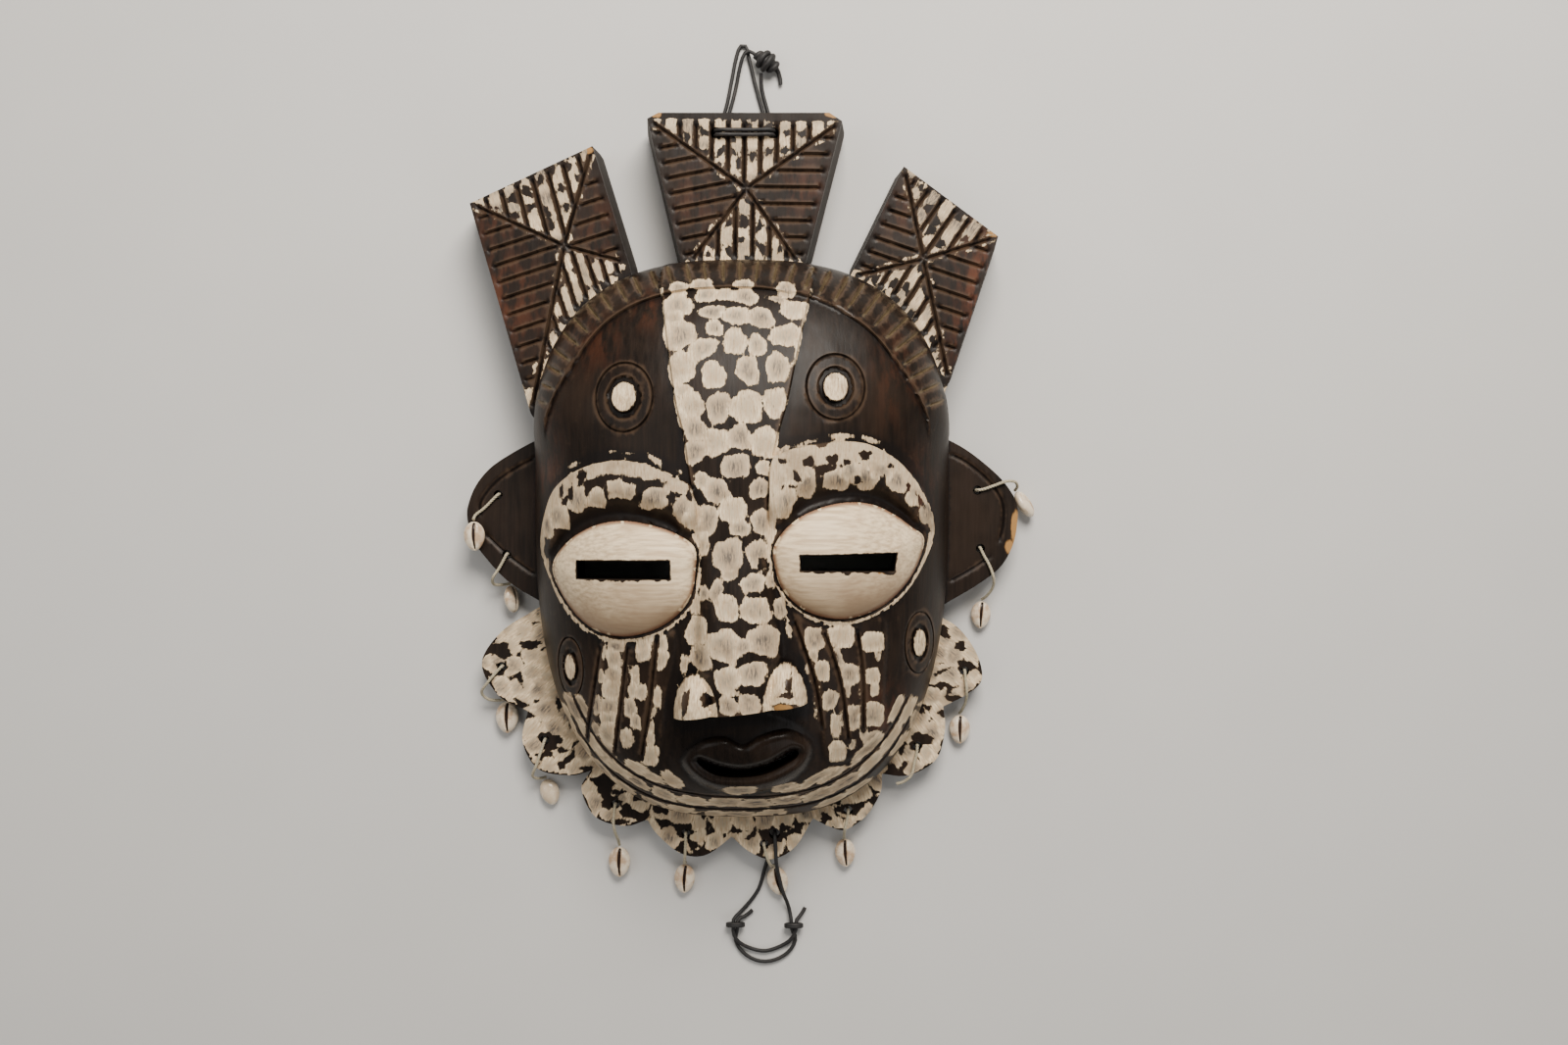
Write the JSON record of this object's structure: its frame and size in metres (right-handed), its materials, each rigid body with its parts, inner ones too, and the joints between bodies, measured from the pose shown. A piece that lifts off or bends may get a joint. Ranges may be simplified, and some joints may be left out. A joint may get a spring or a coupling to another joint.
{
  "type": "tribal mask",
  "caption": "Carved wooden face mask with a three-part crown, pierced ears and a lobed beard, hung with cowrie shells on strings and two dark cords; lies on its back",
  "frame": {"origin": "centre of the mask's footprint, on the plane that its back rim lies on", "axes": "+X to the right of someone who looks down on the face, +Y from the beard to the crown, +Z out of the face"},
  "size_m": [0.3721, 0.6069, 0.1244],
  "materials": {
    "wood": "satin dark stain with cream paint dabs, worn edges",
    "shell": "glossy natural shell",
    "string": "twisted undyed cotton",
    "cord": "round waxed cord"
  },
  "bodies": {
    "root": {"mask": "wood", "cowrie_ear_left_high": "shell", "cowrie_ear_left_low": "shell", "cowrie_ear_right_high": "shell", "cowrie_ear_right_low": "shell", "cowrie_lobe_1": "shell", "cowrie_lobe_2": "shell", "cowrie_lobe_3": "shell", "cowrie_lobe_4": "shell", "cowrie_lobe_5": "shell", "cowrie_lobe_6": "shell", "cowrie_lobe_8": "shell", "string_ear_left_high": "string", "string_ear_left_low": "string", "string_ear_right_high": "string", "string_ear_right_low": "string", "string_lobe_1": "string", "string_lobe_2": "string", "string_lobe_3": "string", "string_lobe_4": "string", "string_lobe_5": "string", "string_lobe_6": "string", "string_lobe_8": "string", "string_lobe_7": "string", "crown_cord": "cord", "chin_cord": "cord", "crown_knot": "cord", "chin_knot_left": "cord", "chin_knot_right": "cord"}
  },
  "joints": []
}
